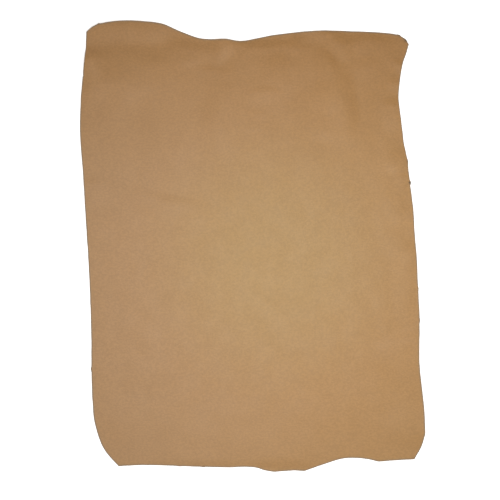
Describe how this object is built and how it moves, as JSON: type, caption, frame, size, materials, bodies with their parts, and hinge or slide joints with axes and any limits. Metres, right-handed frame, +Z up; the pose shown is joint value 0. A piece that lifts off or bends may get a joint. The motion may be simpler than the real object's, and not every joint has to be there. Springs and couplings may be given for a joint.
{
  "type": "leather hide",
  "caption": "Natural tan leather hide with a wavy cut outline, lying flat with its grain side up and its rims slightly lifted.",
  "frame": {"origin": "under the centre of the hide's box, on the surface that it lies on", "axes": "+X across the hide, +Y up its length towards the wavy head, +Z up, out of the grain side"},
  "size_m": [0.7389, 0.9652, 0.0108],
  "materials": {
    "leather": "matt natural grain"
  },
  "bodies": {
    "root": {"hide": "leather"}
  },
  "joints": []
}
